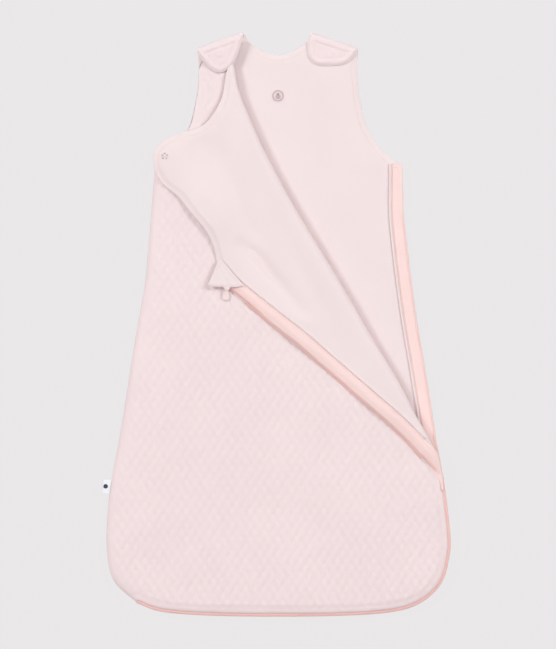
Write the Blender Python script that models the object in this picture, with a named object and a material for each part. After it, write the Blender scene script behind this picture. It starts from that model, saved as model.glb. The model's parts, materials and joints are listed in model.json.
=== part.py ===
"""Baby sleeping bag lying open on its back, as separate solids. Metres, +Z up, +Y towards the head.

The bag rests on z = 0. Its upper front corner is unzipped and folded over towards the left hip.
"""
import math

import bmesh
import bpy
from mathutils import Vector

# Driving dimensions.
SHOULDER_TOP_Y = 0.3486
HEM_Y = -0.3510
NECK_HALF = 0.0420
GAP = 0.0003

# Heights of the layers, bottom to top.
BACK_OUTER = (0.0, 0.0015)
BACK_WADDING = (0.0018, 0.0038)
BACK_LINING = (0.0041, 0.0051)
FRONT_LINING = (0.0106, 0.0116)
FRONT_WADDING = (0.0119, 0.0134)
FRONT_OUTER = (0.0137, 0.0152)
FOLD_Z = 0.01535
BACK_TAPE = (0.0054, 0.0062)
BACK_COIL = (0.0052, 0.0072)
FRONT_TAPE = (0.0095, 0.0103)
FRONT_COIL = (0.0084, 0.0104)
LEFT_TAB = (0.0155, 0.0183)
RIGHT_TAB = (0.0054, 0.0082)
LEFT_ROLL = (0.0, 0.0120)
RIGHT_ROLL = (0.0, 0.0020)
SIDE_SEAM = (0.0054, 0.0103)
LABEL_HEIGHTS = (0.0104, 0.0109)
GARAGE_HEIGHTS = (0.0236, 0.0243)
PATCH_HEIGHTS = (0.0054, 0.0056)
LEFT_STRAP_TOP = 0.2960
FLAP_TOP_Y = 0.3000
LABEL_HINGE_X = -0.2030

# Zip and seam widths, measured inwards from the contour.
COIL_WIDTH = 0.0030
TAPE_START = 0.0033
TAPE_END = 0.0160
PANEL_INSET = 0.0120
SEAM_WIDTH = 0.0060
SEAM_START = 2

# The line the upper front folds along, and the one its foot corner folds along.
FLAP_LINE_POINT = Vector((0.1990, -0.1880))
FLAP_LINE_ALONG = Vector((-0.4686, 0.8834)).normalized()
FOOT_LINE_RIGHT = Vector((0.2040, -0.2150))
FOOT_LINE_LEFT = Vector((-0.1750, -0.3330))

# The straight stretches of the zip's back and front halves, from the armhole down.
ZIP_TOP = Vector((0.1495, 0.1720))
ZIP_STRAIGHT_END = Vector((0.1824, -0.0798))
FRONT_ZIP_STRAIGHT_END = Vector((0.1572, -0.0120))
CORNER_Y = -0.3000
PIN_LENGTH = 0.0240
BOX_LENGTH = 0.0060
SLIDER_LENGTH = 0.0110
SLIDER_AT = 0.0130
SLIDER_LOW_PLATE = (0.0189, 0.0200)
SLIDER_HIGH_PLATE = (0.0226, 0.0233)
SLIDER_POST = (0.0004, 0.0020)
SLIDER_ACROSS = (-0.0045, 0.0062)
CROWN_HEIGHTS = (0.0174, 0.0186)
CROWN_RADIUS = 0.0013
CROWN_OUT = 0.0030
PULL_HEIGHTS = (0.0175, 0.0185)
PULL_LENGTH = 0.0165
PULL_HALF_WIDTH = 0.0042
PULL_NECK_HALF_WIDTH = 0.0034
PULL_EYE_RADIUS = 0.0033
PULL_BORE = 0.0016
GARAGE_CORNERS = ((-0.0832, 0.0450), (-0.0696, 0.0762), (-0.0560, 0.0600), (-0.0414, 0.0450))
CURVE_STEPS = 5

# Shoulder lines that the tabs turn on, outer end then inner end.
LEFT_SHOULDER = (Vector((-0.0972, 0.3280)), Vector((-0.0420, 0.3486)))
RIGHT_SHOULDER = (Vector((0.0955, 0.3306)), Vector((0.0420, 0.3486)))

COLOURS = {
    "outer": (0.91, 0.76, 0.76),
    "lining": (0.93, 0.79, 0.79),
    "wadding": (0.95, 0.95, 0.94),
    "zip_tape": (0.94, 0.70, 0.65),
    "zip_coil": (0.93, 0.62, 0.56),
    "metal": (0.88, 0.78, 0.76),
    "snap": (0.80, 0.77, 0.78),
    "label": (0.93, 0.93, 0.93),
    "print": (0.55, 0.50, 0.53),
}


def material(slot):
    """The slot's plain material, made once."""
    found = bpy.data.materials.get(slot)
    if found:
        return found
    made = bpy.data.materials.new(slot)
    made.use_nodes = True
    shader = made.node_tree.nodes["Principled BSDF"]
    shader.inputs["Base Color"].default_value = (*COLOURS[slot], 1.0)
    hard = slot in ("metal", "snap")
    shader.inputs["Roughness"].default_value = 0.35 if hard else 0.9
    shader.inputs["Metallic"].default_value = 0.0
    return made


def smooth(points, steps=CURVE_STEPS):
    """An open Catmull-Rom curve through the points."""
    ends = [2 * points[0] - points[1], *points, 2 * points[-1] - points[-2]]
    curve = []
    for a, b, c, d in zip(ends, ends[1:], ends[2:], ends[3:]):
        for step in range(steps):
            t = step / steps
            curve.append(
                0.5 * (2 * b + (c - a) * t + (2 * a - 5 * b + 4 * c - d) * t**2
                       + (3 * b - a - 3 * c + d) * t**3)
            )
    return [*curve, points[-1]]


def vectors(*pairs):
    return [Vector(pair) for pair in pairs]


def zip_contour(front=False):
    """The edge that one half of the zip follows: down the right side, round the corner, along the hem."""
    if front:
        side = vectors(FRONT_ZIP_STRAIGHT_END, (0.1730, -0.1050), (0.1990, -0.1880))
    else:
        side = vectors(ZIP_STRAIGHT_END, (0.1908, -0.1398), (0.1990, -0.1880))
    corner = vectors(
        (0.2064, -0.2478), (0.2052, -0.2838), (0.1944, -0.3138), (0.1704, -0.3354), (0.1344, -0.3462),
        (0.0600, -0.3508), (-0.0600, -0.3508), (-0.1356, -0.3462), (-0.1700, -0.3352),
    )
    return [ZIP_TOP, *smooth([*side, *corner])]


def left_contour():
    """The sewn left side, from the end of the zip up to the armpit."""
    return smooth(vectors(
        (-0.1700, -0.3352), (-0.1992, -0.3102), (-0.2064, -0.2718), (-0.2046, -0.2238), (-0.1896, -0.1278),
        (-0.1704, -0.0198), (-0.1536, 0.1002), (-0.1470, 0.1818),
    ))


def armhole():
    """The right armhole from shoulder to armpit; the left one is its mirror."""
    return smooth(vectors(
        (0.0960, 0.3290), (0.0960, 0.3040), (0.0984, 0.2742), (0.1104, 0.2382), (0.1284, 0.2082), (0.1480, 0.1880),
    ))


def back_neckline():
    """The back neckline from the left strap to the right one."""
    half = vectors((-NECK_HALF, SHOULDER_TOP_Y), (-0.0350, 0.3380), (-0.0170, 0.3265), (0.0, 0.3222))
    other = [Vector((-p.x, p.y)) for p in reversed(half[:-1])]
    return smooth([*half, *other])


def front_top():
    """Half of the front's upper edge: neck, rounded strap end and armhole, down to the right armpit."""
    return smooth(vectors(
        (0.0, 0.2850), (0.0253, 0.2995), (0.0433, 0.3143), (0.0590, 0.3196), (0.0740, 0.3170), (0.0870, 0.3040),
        (0.0940, 0.2800), (0.0965, 0.2600), (0.1080, 0.2230), (0.1200, 0.1990), (0.1342, 0.1815),
    ))


def mirror(points):
    return [Vector((-p.x, p.y)) for p in reversed(points)]


def reflect(point):
    """A point of the front panel, folded over the flap's fold line."""
    away = Vector((FLAP_LINE_ALONG.y, -FLAP_LINE_ALONG.x))
    return point - 2 * (point - FLAP_LINE_POINT).dot(away) * away


def offset(path, inwards):
    """The path moved to the right of its direction."""
    moved = []
    for i, point in enumerate(path):
        ahead = (path[min(i + 1, len(path) - 1)] - path[max(i - 1, 0)]).normalized()
        moved.append(point + inwards * Vector((ahead.y, -ahead.x)))
    return moved


def cut(outline, point, along, keep_right):
    """The part of a closed outline on one side of a line."""
    normal = Vector((along.y, -along.x)) * (1 if keep_right else -1)
    kept = []
    for a, b in zip(outline, [*outline[1:], outline[0]]):
        at_a = (a - point).dot(normal)
        at_b = (b - point).dot(normal)
        if at_a >= 0:
            kept.append(a)
        if (at_a >= 0) != (at_b >= 0):
            kept.append(a.lerp(b, at_a / (at_a - at_b)))
    return kept


def tidy(outline, least=0.0004):
    """The outline without points closer together than least."""
    kept = []
    for point in outline:
        if not kept or (point - kept[-1]).length > least:
            kept.append(point)
    if (kept[0] - kept[-1]).length <= least:
        kept.pop()
    return kept


def finish(mesh, name, slot, origin=(0, 0, 0)):
    """An object at origin from a bmesh built in world coordinates."""
    bmesh.ops.recalc_face_normals(mesh, faces=mesh.faces)
    for vert in mesh.verts:
        vert.co -= Vector(origin)
    data = bpy.data.meshes.new(name)
    mesh.to_mesh(data)
    mesh.free()
    data.materials.append(material(slot))
    made = bpy.data.objects.new(name, data)
    made.location = origin
    bpy.context.collection.objects.link(made)
    return made


def slab(name, outline, heights, slot, origin=(0, 0, 0)):
    """A flat piece: the outline, filled and extruded between two heights."""
    low, high = sorted(heights)
    mesh = bmesh.new()
    ring = [mesh.verts.new((p.x, p.y, low)) for p in tidy(outline)]
    face = mesh.faces.new(ring)
    grown = bmesh.ops.extrude_face_region(mesh, geom=[face])
    lifted = [v for v in grown["geom"] if isinstance(v, bmesh.types.BMVert)]
    bmesh.ops.translate(mesh, verts=lifted, vec=(0, 0, high - low))
    caps = [f for f in mesh.faces if len(f.verts) > 4]
    bmesh.ops.triangulate(mesh, faces=caps)
    return finish(mesh, name, slot, origin)


def disc(name, centre, radius, heights, slot, hollow=0.0, sides=20, origin=(0, 0, 0)):
    """A flat round piece, or a ring when hollow is its bore's radius."""
    low, high = heights
    profile = [(radius, low), (radius, high), (hollow, high), (hollow, low)]
    mesh = bmesh.new()
    if hollow == 0.0:
        bmesh.ops.create_cone(mesh, cap_ends=True, segments=sides, radius1=radius, radius2=radius,
                              depth=high - low)
        bmesh.ops.translate(mesh, verts=mesh.verts, vec=(centre.x, centre.y, (low + high) / 2))
    else:
        rings = []
        for side in range(sides):
            turn = 2 * math.pi * side / sides
            rings.append([
                mesh.verts.new((centre.x + r * math.cos(turn), centre.y + r * math.sin(turn), z))
                for r, z in profile
            ])
        for one, two in zip(rings, [*rings[1:], rings[0]]):
            for k in range(4):
                mesh.faces.new((one[k], two[k], two[(k + 1) % 4], one[(k + 1) % 4]))
    made = finish(mesh, name, slot, origin)
    made.data.shade_smooth()
    made.data.set_sharp_from_angle(angle=math.radians(40))
    return made


def folded(heights):
    """A pair of closed heights, turned over with the flap."""
    return tuple(2 * FOLD_Z - z for z in reversed(heights))


def clear_scene():
    for item in list(bpy.data.objects):
        bpy.data.objects.remove(item)


def back_outline():
    """The back panel: neckline, right armhole, zip edge, hem and left side, clockwise."""
    return [
        *back_neckline(), RIGHT_SHOULDER[0], *armhole()[1:], *offset(zip_contour(), PANEL_INSET),
        *left_contour()[1:], *mirror(armhole())[1:-1], LEFT_SHOULDER[0],
    ]


def front_outline(left_top=SHOULDER_TOP_Y):
    """The whole front panel, lying flat and zipped up, its left strap no higher than left_top."""
    left_edge = [Vector((p.x, min(p.y, left_top))) for p in mirror(front_top())[:-1]]
    return [*front_top(), *offset(zip_contour(front=True), PANEL_INSET), *left_contour()[1:], *left_edge]


def make_back():
    outline = back_outline()
    for name, heights, slot in (
        ("back_outer", BACK_OUTER, "outer"),
        ("back_wadding", BACK_WADDING, "wadding"),
        ("back_lining", BACK_LINING, "lining"),
    ):
        slab(name, outline, heights, slot)


def front_part(outline, part):
    """The outline's share for part: the fixed front, the flap (still unfolded) or the foot corner."""
    foot_along = (FOOT_LINE_LEFT - FOOT_LINE_RIGHT).normalized()
    foot_out = Vector((foot_along.y, -foot_along.x))
    flap_out = Vector((FLAP_LINE_ALONG.y, -FLAP_LINE_ALONG.x))
    if part == "flap":
        return cut(outline, FLAP_LINE_POINT + GAP * flap_out, FLAP_LINE_ALONG, True)
    if part == "foot":
        return cut(outline, FOOT_LINE_RIGHT - GAP * foot_out, foot_along, False)
    above = cut(outline, FOOT_LINE_RIGHT + GAP * foot_out, foot_along, True)
    return cut(above, FLAP_LINE_POINT - GAP * flap_out, FLAP_LINE_ALONG, False)


def below(outline, y):
    return cut(outline, Vector((0, y)), Vector((1, 0)), True)


def make_front():
    outline = front_outline()
    for layer, heights, slot in (
        ("outer", FRONT_OUTER, "outer"),
        ("wadding", FRONT_WADDING, "wadding"),
        ("lining", FRONT_LINING, "lining"),
    ):
        slab(f"front_{layer}", front_part(outline, "front"), heights, slot)
        slab(f"foot_{layer}", front_part(outline, "foot"), heights, slot)
        turned = [reflect(p) for p in front_part(front_outline(LEFT_STRAP_TOP), "flap")]
        slab(f"flap_{layer}", below(turned, FLAP_TOP_Y), folded(heights), slot)


def strip(inner, outer, front=False):
    """The band of the zip contour between two insets."""
    path = zip_contour(front)
    return [*offset(path, inner), *reversed(offset(path, outer))]


def make_zip():
    """Both halves of the zip, the front one in three stretches that move apart."""
    tape_band = strip(TAPE_START, TAPE_END)
    coil_band = strip(0.0, COIL_WIDTH)
    pin_end = ZIP_TOP.y - PIN_LENGTH
    slab("back_zip_tape", tape_band, BACK_TAPE, "zip_tape")
    slab("back_zip_coil", below(coil_band, pin_end - GAP), BACK_COIL, "zip_coil")
    pin = cut(coil_band, Vector((0, pin_end)), Vector((1, 0)), False)
    slab("insertion_pin", pin, BACK_TAPE, "metal")
    front_tape = strip(TAPE_START, TAPE_END, front=True)
    front_coil = strip(0.0, COIL_WIDTH, front=True)
    for kind, band, heights in (("tape", front_tape, FRONT_TAPE), ("coil", front_coil, FRONT_COIL)):
        slot = f"zip_{kind}"
        flap_band = front_part(band, "flap")
        if kind == "coil":
            flap_band = below(flap_band, ZIP_TOP.y - BOX_LENGTH - GAP)
        slab(f"flap_zip_{kind}", [reflect(p) for p in flap_band], folded(heights), slot)
        upper_band = cut(band, Vector((0, CORNER_Y)), Vector((1, 0)), False)
        slab(f"side_zip_{kind}", front_part(upper_band, "front"), heights, slot)
        slab(f"foot_zip_{kind}", front_part(band, "foot"), heights, slot)
    box = cut(front_coil, Vector((0, ZIP_TOP.y - BOX_LENGTH)), Vector((1, 0)), False)
    slab("retainer_box", [reflect(p) for p in box], folded(FRONT_COIL), "metal")


def zip_frame():
    """A point on the folded zip's straight stretch by distance, its direction and its outward normal."""
    top = reflect(ZIP_TOP)
    along = (reflect(FRONT_ZIP_STRAIGHT_END) - top).normalized()
    out = (top - reflect(ZIP_TOP + Vector((-1, 0)))).normalized()
    side = Vector((along.y, -along.x))
    if side.dot(out) < 0:
        side = -side
    return top, along, side


def make_slider():
    """The slider: two plates joined by a post that runs outside the coil, and its crown and pull."""
    top, along, out = zip_frame()
    centre = top + SLIDER_AT * along
    low_plate, high_plate = SLIDER_LOW_PLATE, SLIDER_HIGH_PLATE
    post_in, post_out = SLIDER_POST
    wide_in, wide_out = SLIDER_ACROSS
    section = [
        (wide_in, low_plate[0]), (wide_out, low_plate[0]), (wide_out, low_plate[1]), (post_out, low_plate[1]),
        (post_out, high_plate[0]), (wide_out, high_plate[0]), (wide_out, high_plate[1]), (wide_in, high_plate[1]),
        (wide_in, high_plate[0]), (post_in, high_plate[0]), (post_in, low_plate[1]), (wide_in, low_plate[1]),
    ]
    mesh = bmesh.new()
    start = centre - SLIDER_LENGTH / 2 * along
    ring = [mesh.verts.new((start.x + o * out.x, start.y + o * out.y, z)) for o, z in section]
    face = mesh.faces.new(ring)
    grown = bmesh.ops.extrude_face_region(mesh, geom=[face])
    far = [v for v in grown["geom"] if isinstance(v, bmesh.types.BMVert)]
    step = SLIDER_LENGTH * along
    bmesh.ops.translate(mesh, verts=far, vec=(step.x, step.y, 0))
    caps = [f for f in mesh.faces if len(f.verts) > 4]
    bmesh.ops.triangulate(mesh, faces=caps)
    finish(mesh, "slider_body", "metal", (centre.x, centre.y, 0.0211))
    pivot = centre + CROWN_OUT * out
    middle = sum(CROWN_HEIGHTS) / 2
    disc("slider_crown", pivot, CROWN_RADIUS, CROWN_HEIGHTS, "metal", origin=(pivot.x, pivot.y, middle))
    make_pull(pivot)


def make_pull(pivot):
    """The pull tab: an eye round the crown and a tapered tongue that points to the foot end."""
    mesh = bmesh.new()
    sides = 16
    outer = []
    for k in range(sides + 1):
        turn = math.radians(-50) + math.radians(280) * k / sides
        outer.append(Vector((PULL_EYE_RADIUS * math.cos(turn), PULL_EYE_RADIUS * math.sin(turn))))
    neck, half, end = PULL_NECK_HALF_WIDTH, PULL_HALF_WIDTH, 0.7 * PULL_HALF_WIDTH
    upper, lower = -0.4 * PULL_LENGTH, -0.8 * PULL_LENGTH
    tail = vectors((-neck, upper), (-half, lower), (-end, -PULL_LENGTH), (end, -PULL_LENGTH),
                   (half, lower), (neck, upper))
    turns = [2 * math.pi * k / sides for k in range(sides)]
    bore = [Vector((PULL_BORE * math.cos(turn), PULL_BORE * math.sin(turn))) for turn in turns]
    low, high = PULL_HEIGHTS
    loops = []
    for loop in (outer + tail, bore):
        loops.append([mesh.verts.new((pivot.x + p.x, pivot.y + p.y, low)) for p in loop])
    edges = []
    for loop in loops:
        edges += [mesh.edges.new(pair) for pair in zip(loop, [*loop[1:], loop[0]])]
    filled = bmesh.ops.triangle_fill(mesh, use_beauty=True, edges=edges)
    faces = [f for f in filled["geom"] if isinstance(f, bmesh.types.BMFace)]
    grown = bmesh.ops.extrude_face_region(mesh, geom=faces)
    lifted = [v for v in grown["geom"] if isinstance(v, bmesh.types.BMVert)]
    bmesh.ops.translate(mesh, verts=lifted, vec=(0, 0, high - low))
    finish(mesh, "zip_pull", "metal", (pivot.x, pivot.y, (low + high) / 2))


def make_garage():
    """The small folded fabric corner that covers the parked slider."""
    slab("zip_garage", vectors(*GARAGE_CORNERS), GARAGE_HEIGHTS, "lining")


def tab_outline(shoulder, depth):
    """A rounded tab hanging from a shoulder line towards the foot end."""
    outer, inner = shoulder
    along = inner - outer
    down = Vector((along.y, -along.x)).normalized()
    if down.y > 0:
        down = -down
    points = []
    count = 14
    for k in range(count + 1):
        t = k / count
        bulge = (1 - abs(2 * t - 1) ** 2.6) ** 0.62
        points.append(outer + along * (0.02 + 0.96 * t) + down * (GAP + depth * bulge))
    return points


def seam_outline(shoulder, width=0.0020):
    """A narrow band just outside a shoulder line, towards the head."""
    outer, inner = shoulder
    along = (inner - outer).normalized()
    up = Vector((along.y, -along.x))
    if up.y < 0:
        up = -up
    near, far = GAP * up, width * up
    return [outer + near, inner + near, inner + far - 0.0010 * along, outer + far + 0.0010 * along]


def make_tabs():
    """Both shoulder tabs, with their pressed-stud pieces, and the rolls they turn on."""
    for side, shoulder, heights, depth in (
        ("left", LEFT_SHOULDER, LEFT_TAB, 0.0370),
        ("right", RIGHT_SHOULDER, RIGHT_TAB, 0.0300),
    ):
        outline = tab_outline(shoulder, depth)
        middle = (shoulder[0] + shoulder[1]) / 2
        origin = (middle.x, middle.y, heights[0] - 0.00015)
        low, high = heights
        half = (low + high) / 2
        slab(f"{side}_tab_lining", outline, (low, half - GAP / 2), "lining", origin)
        slab(f"{side}_tab_outer", outline, (half + GAP / 2, high), "outer", origin)
        stud = middle + Vector((0.0030 if side == "left" else -0.0010, -0.0200))
        disc(f"{side}_tab_snap_cap", stud, 0.0043, (high + GAP, high + 0.0010), "snap", origin=origin)
    slab("left_shoulder_seam", seam_outline(LEFT_SHOULDER), LEFT_ROLL, "outer")
    slab("right_shoulder_seam", seam_outline(RIGHT_SHOULDER), RIGHT_ROLL, "outer")


def make_snaps():
    """The stud on the folded front strap: pronged ring and pearl, and its post on the other face."""
    stud = Vector((-0.1356, 0.2022))
    top = folded(FRONT_LINING)[1]
    disc("strap_stud_ring", stud, 0.0044, (top + GAP, top + 0.0011), "snap", hollow=0.0026)
    disc("strap_stud_pearl", stud, 0.0022, (top + GAP, top + 0.0015), "snap")


def make_seams():
    """The left side seam allowance between front and back, the hem stop, the label and the neck patch."""
    side = left_contour()[SEAM_START:]
    inner = offset(side, SEAM_WIDTH)
    slab("left_side_seam", [*side, *reversed(inner)], SIDE_SEAM, "outer")
    label = vectors((LABEL_HINGE_X, -0.1878), (-0.2094, -0.1878), (-0.2104, -0.2046), (-0.2048, -0.2046))
    slab("side_label", label, LABEL_HEIGHTS, "label", (LABEL_HINGE_X, -0.1878, LABEL_HEIGHTS[0]))
    disc("neck_patch", Vector((0.0, 0.2742)), 0.0062, PATCH_HEIGHTS, "print", sides=24)


clear_scene()
make_back()
make_front()
make_zip()
make_slider()
make_garage()
make_tabs()
make_snaps()
make_seams()
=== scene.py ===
"""The looks of a baby sleeping bag that lies open on its back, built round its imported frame."""
import json
import math

import bmesh
import bpy
import numpy as np
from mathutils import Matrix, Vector, geometry, noise


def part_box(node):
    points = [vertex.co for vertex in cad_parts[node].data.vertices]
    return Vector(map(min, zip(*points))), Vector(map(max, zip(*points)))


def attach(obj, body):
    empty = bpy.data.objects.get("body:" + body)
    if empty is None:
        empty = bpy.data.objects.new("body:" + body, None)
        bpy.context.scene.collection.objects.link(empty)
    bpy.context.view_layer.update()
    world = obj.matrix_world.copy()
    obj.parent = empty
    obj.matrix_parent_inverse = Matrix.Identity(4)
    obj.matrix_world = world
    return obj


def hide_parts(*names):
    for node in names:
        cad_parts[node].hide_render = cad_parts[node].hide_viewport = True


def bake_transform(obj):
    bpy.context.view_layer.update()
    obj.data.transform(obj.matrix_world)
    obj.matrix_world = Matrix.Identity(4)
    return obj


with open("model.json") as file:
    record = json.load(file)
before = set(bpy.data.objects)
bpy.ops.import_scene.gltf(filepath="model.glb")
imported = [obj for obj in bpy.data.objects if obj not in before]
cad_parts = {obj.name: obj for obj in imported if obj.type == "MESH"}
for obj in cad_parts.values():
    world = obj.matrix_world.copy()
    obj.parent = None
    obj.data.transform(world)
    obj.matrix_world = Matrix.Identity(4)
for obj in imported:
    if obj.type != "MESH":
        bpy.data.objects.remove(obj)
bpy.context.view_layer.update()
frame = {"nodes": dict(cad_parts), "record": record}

# ---- sizes, in metres
GRID = 0.0026
DIAMOND_WIDE = 0.011
DIAMOND_HIGH = 0.017
QUILT_DEPTH = 0.0011
EDGE_ROLL = 0.016
TOPSTITCH_IN = 0.0055
ZIP_SEAM_IN = 0.0098
STITCH_LONG = 0.0023
STITCH_STEP = 0.0032
STITCH_RADIUS = 0.00022
FINE_THREAD = 0.00018
THREAD_PROUD = 0.0002
TAPE_THICK = 0.0006
WELT_THICK = 0.001
WELT_CROWN = 0.0007
TAPE_STITCH_IN = 0.003
BACK_TAPE_TOP = 0.006
BACK_EDGE_TOP = 0.0058
FRONT_EDGE_TOP = 0.0112
COIL_RADIUS = 0.0007
COIL_PITCH = 0.0016
COIL_WIRE = 0.00042
SIDE_SEAM_IN = 0.0016
SIDE_SEAM_WIDE = 0.0072

JOINTS = {j["name"]: j for j in frame["record"]["behaviour"]["joints"]}
FOLD = JOINTS["front_flap_fold"]
FOOT = JOINTS["foot_corner_fold"]
FOLD_POINT = np.array(FOLD["pos_m"][:2])
FOLD_ALONG = np.array(FOLD["axis"][:2])
FOLD_OUT = np.array([FOLD_ALONG[1], -FOLD_ALONG[0]])
FOLD_Z = FOLD["pos_m"][2]

BACK_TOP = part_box("back_lining")[1][2]
FRONT_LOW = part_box("front_lining")[0][2]
FRONT_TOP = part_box("front_outer")[1][2]
FLAP_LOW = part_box("flap_outer")[0][2]
FLAP_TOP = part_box("flap_lining")[1][2]
SEAM_Z = 0.0078
TIP_Z = 0.0118
CLOSED_ROOM = 0.0222
FOLD_CLEAR = 0.0003
FOLD_GAP = 0.0002


# ---- curves in the plane
def smooth(points, steps=8):
    """An open Catmull-Rom curve through the points, as an array."""
    p = np.array(points, float)
    p = np.vstack([2 * p[0] - p[1], p, 2 * p[-1] - p[-2]])
    curve = []
    for a, b, c, d in zip(p, p[1:], p[2:], p[3:]):
        for t in np.arange(steps) / steps:
            curve.append(0.5 * (2 * b + (c - a) * t + (2 * a - 5 * b + 4 * c - d) * t * t
                                + (3 * b - a - 3 * c + d) * t**3))
    curve.append(p[-2])
    return np.array(curve)


def evenly(path, step):
    """The path with points every step along it."""
    path = np.array(path, float)
    run = np.concatenate([[0], np.cumsum(np.linalg.norm(np.diff(path, axis=0), axis=1))])
    count = max(2, int(round(run[-1] / step)) + 1)
    at = np.linspace(0, run[-1], count)
    return np.stack([np.interp(at, run, path[:, k]) for k in range(path.shape[1])], 1)


def normals(path):
    """Unit normals to the right of an open path's direction."""
    way = np.gradient(np.array(path)[:, :2], axis=0)
    way /= np.linalg.norm(way, axis=1)[:, None] + 1e-12
    return np.stack([way[:, 1], -way[:, 0]], 1)


def offset(path, inwards):
    """The path moved sideways, along its normals."""
    return np.array(path)[:, :2] + inwards * normals(path)


def mirror(path):
    """The path on the bag's other side, run the other way."""
    return np.array(path)[::-1] * [-1, 1]


def distance_to(points, path):
    """How far each point lies from a polyline."""
    best = np.full(len(points), 1e9)
    for a, b in zip(path[:-1], path[1:]):
        ab = b - a
        t = np.clip(((points - a) @ ab) / (ab @ ab + 1e-18), 0, 1)
        best = np.minimum(best, np.linalg.norm(points - a - t[:, None] * ab, axis=1))
    return best


def ease(x):
    """A soft step from 0 to 1."""
    x = np.clip(x, 0, 1)
    return x * x * (3 - 2 * x)


# ---- outlines of the bag
ZIP_TOP = (0.149, 0.172)
CORNER = [(0.2064, -0.254), (0.2046, -0.2838), (0.195, -0.313), (0.1704, -0.3354), (0.1344, -0.3462),
          (0.06, -0.3508), (-0.06, -0.3508), (-0.1356, -0.3462), (-0.17, -0.3352)]
back_zip = smooth([ZIP_TOP, (0.15, 0.136), (0.1552, 0.088), (0.1603, 0.046), (0.1672, -0.002),
                   (0.1752, -0.048), (0.1832, -0.098), (0.1905, -0.144), (0.1985, -0.188), *CORNER])
left_side = smooth([(-0.17, -0.3352), (-0.1965, -0.31), (-0.205, -0.275), (-0.2044, -0.23),
                    (-0.1992, -0.1878), (-0.19, -0.138), (-0.1824, -0.0918), (-0.1745, -0.04),
                    (-0.1668, 0.0042), (-0.159, 0.05), (-0.1545, 0.1002), (-0.1512, 0.14),
                    (-0.1475, 0.186)])
right_arm = smooth([(0.0955, 0.3306), (0.0944, 0.311), (0.095, 0.29), (0.0978, 0.268), (0.1044, 0.24),
                    (0.1128, 0.2245), (0.1215, 0.2105), (0.1335, 0.1995), (0.148, 0.1905)])
half_neck = [(-0.042, 0.3486), (-0.035, 0.338), (-0.017, 0.3265), (0.0, 0.3222)]
neck = smooth(half_neck + [(-x, y) for x, y in half_neck[-2::-1]])

# The crease of the folded front, and the flap's free edges as they lie on it.
crease = smooth([(-0.056, 0.311), (-0.055, 0.2922), (-0.049, 0.2682), (-0.0302, 0.2202),
                 (-0.0068, 0.1722), (0.0196, 0.1242), (0.0484, 0.0762), (0.0772, 0.0282), (0.1048, -0.0198),
                 (0.1348, -0.0678), (0.161, -0.1158), (0.18, -0.148), (0.19, -0.172), (0.194, -0.188)])
flap_neck = smooth([(-0.056, 0.311), (-0.061, 0.301), (-0.0672, 0.2682), (-0.0816, 0.2442),
                    (-0.0936, 0.2346), (-0.108, 0.2298), (-0.1296, 0.2226), (-0.1416, 0.2142),
                    (-0.148, 0.204), (-0.1482, 0.19), (-0.144, 0.178), (-0.1356, 0.1662),
                    (-0.1176, 0.1518), (-0.1056, 0.1362), (-0.0876, 0.1146), (-0.0768, 0.0942),
                    (-0.0725, 0.0738), (-0.07, 0.056)])
flap_zip = smooth([(-0.07, 0.056), (-0.0645, 0.0475), (-0.0576, 0.0415), (-0.01, 0.003),
                   (0.0228, -0.0225), (0.0504, -0.0465), (0.0984, -0.088), (0.123, -0.109),
                   (0.1422, -0.1262), (0.16, -0.1445), (0.174, -0.161), (0.1872, -0.1765),
                   (0.194, -0.188)])


def closed(*paths):
    """One closed outline from paths laid end to end, without doubled points."""
    points = np.vstack(paths)
    keep = [0]
    for i in range(1, len(points)):
        if np.linalg.norm(points[i] - points[keep[-1]]) > 0.0007:
            keep.append(i)
    if np.linalg.norm(points[keep[-1]] - points[keep[0]]) < 0.0007:
        keep.pop()
    return points[keep]


FLAP_AREA = closed(crease, flap_zip[::-1], flap_neck[::-1])
BAND = 0.008


# ---- meshes
def inside(points, outline):
    """Which points lie inside a closed outline."""
    x, y = points[:, 0], points[:, 1]
    hit = np.zeros(len(points), bool)
    for (ax, ay), (bx, by) in zip(outline, np.roll(outline, -1, 0)):
        crosses = (ay > y) != (by > y)
        hit ^= crosses & (x < (bx - ax) * (y - ay) / (by - ay + 1e-18) + ax)
    return hit


def fill(outline, spacing):
    """Points and triangles that fill an outline; its own points come first, in order."""
    low, high = outline.min(0), outline.max(0)
    rows = np.arange(low[1], high[1], spacing * 0.866)
    grid = []
    for i, y in enumerate(rows):
        xs = np.arange(low[0] + (i % 2) * spacing / 2, high[0], spacing)
        grid.append(np.stack([xs, np.full(len(xs), y)], 1))
    grid = np.vstack(grid)
    grid = grid[inside(grid, outline)]
    rim = np.vstack([outline, outline[:1]])
    grid = grid[distance_to(grid, rim) > spacing * 0.45]
    points = np.vstack([outline, grid])
    count = len(outline)
    edges = [(i, (i + 1) % count) for i in range(count)]
    made = geometry.delaunay_2d_cdt([Vector(p) for p in points], edges, [], 1, 1e-7)
    verts = np.array([v[:] for v in made[0]])
    came = made[3]
    order = [c[0] if c else -1 for c in came]
    place = {old: new for new, old in enumerate(order)}
    back = np.array([place[i] for i in range(len(points))])
    index = np.full(len(verts), -1)
    index[back] = np.arange(len(points))
    tris = [[int(index[k]) for k in tri] for tri in made[2]]
    turned = []
    for a, b, c in tris:
        area = np.cross(points[b] - points[a], points[c] - points[a])
        turned.append((a, b, c) if area > 0 else (a, c, b))
    return points, turned


def level(height):
    """The height function of a flat sheet."""
    return lambda points, *rest: np.full(len(points), height)


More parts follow.
